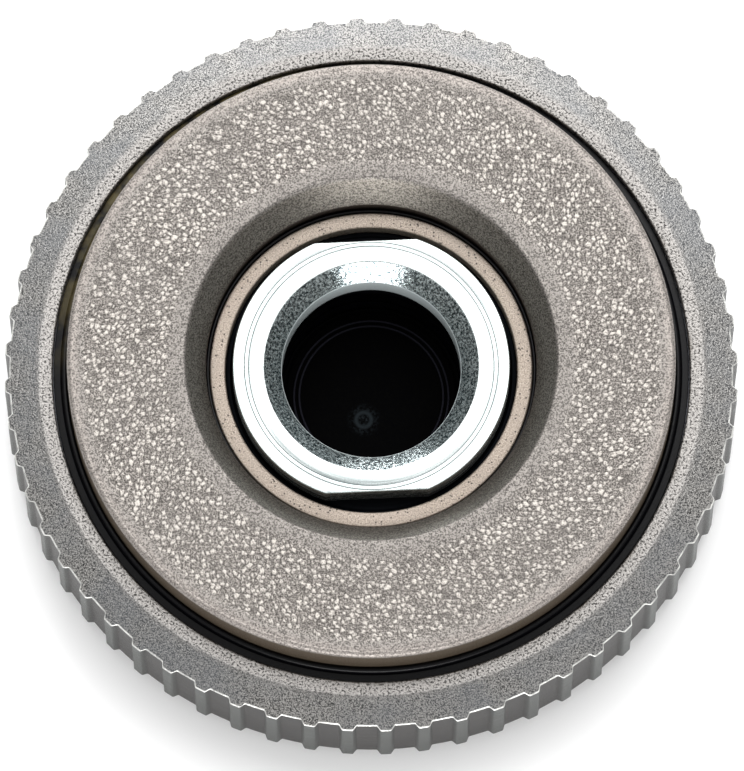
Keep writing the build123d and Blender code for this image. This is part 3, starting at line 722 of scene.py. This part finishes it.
def arc(middle, radius, turns):
    """Points on a circle at the given angles, which run clockwise."""
    return np.stack([middle[0] + radius * np.cos(turns), middle[1] + radius * np.sin(turns)], -1)


def disc_outline(turn, radius):
    """A circle on the flange's bolt circle, at an angle in radians."""
    middle = (BOLT_CIRCLE_R * math.cos(turn), BOLT_CIRCLE_R * math.sin(turn))
    return arc(middle, radius, -np.linspace(0, 2 * math.pi, 32, endpoint=False))


def slot_outline():
    """The slot of the spring pin: a band along part of a circle, with round ends."""
    sweep = -np.radians(np.linspace(0, SLOT_SWEEP, 41))
    cap = np.linspace(0, math.pi, 13)[1:-1]
    end = sweep[-1]
    end_middle = (SLOT_CIRCLE_R * math.cos(end), SLOT_CIRCLE_R * math.sin(end))
    return np.concatenate([
        arc((0, 0), SLOT_CIRCLE_R + SLOT_R, sweep),
        arc(end_middle, SLOT_R, end - cap),
        arc((0, 0), SLOT_CIRCLE_R - SLOT_R, sweep[::-1]),
        arc((SLOT_CIRCLE_R, 0), SLOT_R, math.pi - cap),
    ])


def hub_openings(low):
    """The spring pin's slot, the screw holes and the spanner holes, as (outline, bottom, top)."""
    below = low - CUT_PAST
    screws = [(place + 0.5) * 2 * math.pi / SCREWS for place in range(SCREWS)]
    openings = [(slot_outline(), SLOT_BOTTOM, SLOT_TOP)]
    openings += [(disc_outline(turn, SCREW_HOLE_R), below, SCREW_HOLE_TOP) for turn in screws]
    openings += [(disc_outline(turn, SPANNER_HOLE_R), below, SPANNER_HOLE_TOP) for turn in (0, math.pi)]
    return openings


def cut_openings(hub, openings):
    """Cuts prisms, given as (outline, bottom, top), out of the hub."""
    vertices, faces = [], []
    for outline, bottom, top in openings:
        count, start = len(outline), len(vertices)
        vertices += [(x * MM, y * MM, z * MM) for z in (bottom, top) for x, y in outline]
        low = [start + i for i in range(count)]
        high = [i + count for i in low]
        faces += [tuple(low), tuple(reversed(high))]
        faces += [(low[i - 1], high[i - 1], high[i], low[i]) for i in range(count)]
    mesh = bpy.data.meshes.new("openings")
    mesh.from_pydata(vertices, [], faces)
    cutter = bpy.data.objects.new("openings", mesh)
    bpy.context.scene.collection.objects.link(cutter)
    cut = hub.modifiers.new("openings", "BOOLEAN")
    cut.operation = "DIFFERENCE"
    cut.solver = "EXACT"
    cut.object = cutter
    with bpy.context.temp_override(object=hub, active_object=hub, selected_objects=[hub]):
        bpy.ops.object.modifier_apply(modifier=cut.name)
    bpy.data.objects.remove(cutter)
    bpy.data.meshes.remove(mesh)


def hub_corners(outer, low, high):
    """The hub's outline: bore, countersink, nose, shoulder, core, flange and spring pocket."""
    lines = []
    for line in NOSE_LINES:
        lines += [(line - LINE_HALF, high, 0), (line, high - LINE_DEPTH, 0), (line + LINE_HALF, high, 0)]
    return [
        (7.57, low, 0),
        (7.57, 2.2, 0),
        *[(HUB_BORE_R, z, 0) for z in np.arange(2.2, 8.65, THREAD_STEP)],
        (HUB_BORE_R, high - (NOSE_MOUTH_R - HUB_BORE_R), 0.08),
        (NOSE_MOUTH_R, high, 0.12),
        *lines,
        (NOSE_R, high, 0.08),
        (NOSE_R, SHOULDER_Z, 0),
        (NOSE_R + 0.12, SHOULDER_Z - 0.1, 0),
        (NOSE_R + 0.2, SHOULDER_Z, 0),
        (SHOULDER_R, SHOULDER_Z, 0.05),
        (SHOULDER_R, 7.4, 0),
        (CORE_R, 7.4, 0.1),
        (CORE_R, 6.9, 0),
        (10.6, 6.9, 0),
        (10.6, 6.45, 0),
        (CORE_R, 6.45, 0),
        (CORE_R, 4.0, 0),
        (outer, 4.0, 0.1),
        (outer, 3.5, 0),
        (18.4, 3.5, 0),
        (18.4, 1.7, 0),
        (outer, 1.7, 0),
        (outer, low, 0.1),
        (14.8, low, 0),
        (14.8, 3.3, 0),
        (CORE_R, 3.3, 0),
        (CORE_R, low, 0),
    ]


def cut_flats(radius, height, angles):
    """Brings the nose in to its two flats, with a small bevel at their upper edge."""
    across = np.abs(np.sin(angles - FLAT_TURN))
    flat_r = NOSE_FLATS / 2 / np.maximum(across, 1e-6)
    nose = (height >= SHOULDER_Z) & (radius > NOSE_MOUTH_R + 0.5) & (radius <= NOSE_R + TINY)
    inset = np.clip(NOSE_R - radius, 0, FLAT_BEVEL)
    return np.where(nose, np.minimum(radius, flat_r - inset), radius)


def make_hub():
    """Turned hub with two flats on its nose and a helical thread in its bore."""
    outer, low, high = size_of("threaded_hub")
    radius, height, angles = spin(rounded(hub_corners(outer, low, high)), 2 * COLUMNS)
    radius = cut_flats(radius, height, angles)
    bore = np.abs(radius - HUB_BORE_R) < TINY
    radius = radius + np.where(bore, thread_depth(angles, height), 0)
    hub = turned("threaded_hub_body", "hub", "zinc_steel", radius, height, angles, "threaded_hub")
    cut_openings(hub, hub_openings(low))
    return hub


# ---- Small turned pieces ------------------------------------------------------------------------


def make_guide_bush():
    outer, low, high = size_of("guide_bush")
    corners = [(9.65, low, 0), (9.65, high, 0.1), (outer, high, 0.1), (outer, low, 0)]
    return lathe("guide_bush_body", "hub", "sintered_bronze", corners, "guide_bush")


def make_bore_wiper():
    outer, low, high = size_of("bore_wiper")
    corners = [(10.7, low, 0), (10.7, high, 0.08), (outer, high, 0.08), (outer, low, 0)]
    return lathe("bore_wiper_body", "pressure_plate", "black_rubber", corners, "bore_wiper")


def make_front_seal():
    """Seal with a rounded lip that leans on the plate."""
    outer, low, high = size_of("front_dust_seal")
    corners = [
        (20.1, low, 0),
        (20.1, high, 0.12),
        (20.45, high, 0.18),
        (20.5, 9.35, 0.1),
        (outer, 9.3, 0.05),
        (outer, low, 0),
    ]
    return lathe("front_seal_body", "hand_ring", "black_rubber", corners, "front_dust_seal")


def make_bore_cap():
    """Cap behind the thread, with two low rings on its face."""
    outer, low, high = size_of("bore_cap")
    step_r = outer - 0.35
    step_z = 1.2
    face = high - 0.3
    half_width = 0.12
    ring_top = face + 0.12
    corners = [(TINY, low, 0), (TINY, face, 0)]
    for r in CAP_RINGS:
        corners += [(r - half_width, face, 0), (r, ring_top, 0.05), (r + half_width, face, 0)]
    corners += [(5.6, face, 0.05), (5.8, high, 0.1), (outer, high, 0.1), (outer, step_z, 0.05)]
    corners += [(step_r, step_z, 0), (step_r, low, 0.18)]
    return lathe("bore_cap_body", "hub", "black_plastic", corners, "bore_cap")


def dress(piece, finish):
    piece.data.materials.clear()
    piece.data.materials.append(finish)


made = [
    make_hand_ring(),
    make_pressure_plate(),
    make_hub(),
    make_guide_bush(),
    make_bore_wiper(),
    make_front_seal(),
    make_bore_cap(),
]
for piece in made:
    dress(piece, FINISHES[piece["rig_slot"]])

slot_of = {part["node"]: part["material_slot"] for part in frame["record"]["subparts"]}
for node, piece in frame["nodes"].items():
    for place in piece.material_slots:
        place.material = FINISHES[slot_of[node]]


# ---- Floor, light and camera --------------------------------------------------------------------

FLOOR_HALF = 4.0
FLOOR_Z = -0.02 * MM
SENSOR_WIDTH = 36
SEEN_HEIGHT = 51.2 * MM  # how much of the object's height the picture shows


def make_floor():
    signs = [(-1, -1), (1, -1), (1, 1), (-1, 1)]
    corners = [(x * FLOOR_HALF, y * FLOOR_HALF, FLOOR_Z) for x, y in signs]
    mesh = bpy.data.meshes.new("floor")
    mesh.from_pydata(corners, [], [(0, 1, 2, 3)])
    floor = bpy.data.objects.new("floor", mesh)
    bpy.context.scene.collection.objects.link(floor)
    s = Shade("pale_floor")
    dress(floor, s.finish(s.mix(s.noise(30.0), tone(246, 246, 246), tone(250, 250, 250)), 0.8))


def softbox(name, place, aim, width, depth, power):
    data = bpy.data.lights.new(name, "AREA")
    data.shape = "RECTANGLE"
    data.size = width
    data.size_y = depth
    data.energy = power
    lamp = bpy.data.objects.new(name, data)
    lamp.location = place
    lamp.rotation_euler = (Vector(aim) - Vector(place)).to_track_quat("-Z", "Y").to_euler()
    lamp.visible_camera = False
    bpy.context.scene.collection.objects.link(lamp)


def make_world():
    """A pale ceiling over dark walls, so that steep faces have something dark to reflect."""
    world = bpy.data.worlds.new("studio")
    bpy.context.scene.world = world
    world.use_nodes = True
    nodes, links = world.node_tree.nodes, world.node_tree.links
    place = nodes.new("ShaderNodeTexCoord")
    split = nodes.new("ShaderNodeSeparateXYZ")
    rise = nodes.new("ShaderNodeMapRange")
    for key, value in {"From Min": 0.2, "From Max": 0.6, "To Min": 0.08, "To Max": 0.8}.items():
        rise.inputs[key].default_value = value
    links.new(place.outputs["Generated"], split.inputs[0])
    links.new(split.outputs["Z"], rise.inputs["Value"])
    links.new(rise.outputs[0], nodes["Background"].inputs["Strength"])
    nodes["Background"].inputs["Color"].default_value = (1, 1, 1, 1)


def make_light():
    middle = (0, 0, 0.01)
    softbox("overhead", (0.04, 0.3, 0.52), middle, 0.5, 0.6, 4.2)
    softbox("front_fill", (0, -0.5, 0.15), middle, 0.34, 0.14, 2.6)
    softbox("back_fill", (-0.06, 0.5, 0.13), middle, 0.3, 0.1, 1.5)
    bpy.context.scene.view_settings.view_transform = "Standard"


def make_camera():
    """A long lens, a little in front of straight above, as a product is shot on a table."""
    distance = 0.85
    elevation = math.radians(77)
    target = Vector((0.05 * MM, 0, 5.1 * MM))
    data = bpy.data.cameras.new("camera")
    camera = bpy.data.objects.new("camera", data)
    bpy.context.scene.collection.objects.link(camera)
    back = Vector((0, -math.cos(elevation), math.sin(elevation)))
    camera.location = target + back * distance
    camera.rotation_euler = (-back).to_track_quat("-Z", "Y").to_euler()
    data.sensor_width = SENSOR_WIDTH
    data.lens = SENSOR_WIDTH * distance / SEEN_HEIGHT
    data.clip_start = 0.01
    bpy.context.scene.camera = camera


make_floor()
make_world()
make_light()
make_camera()
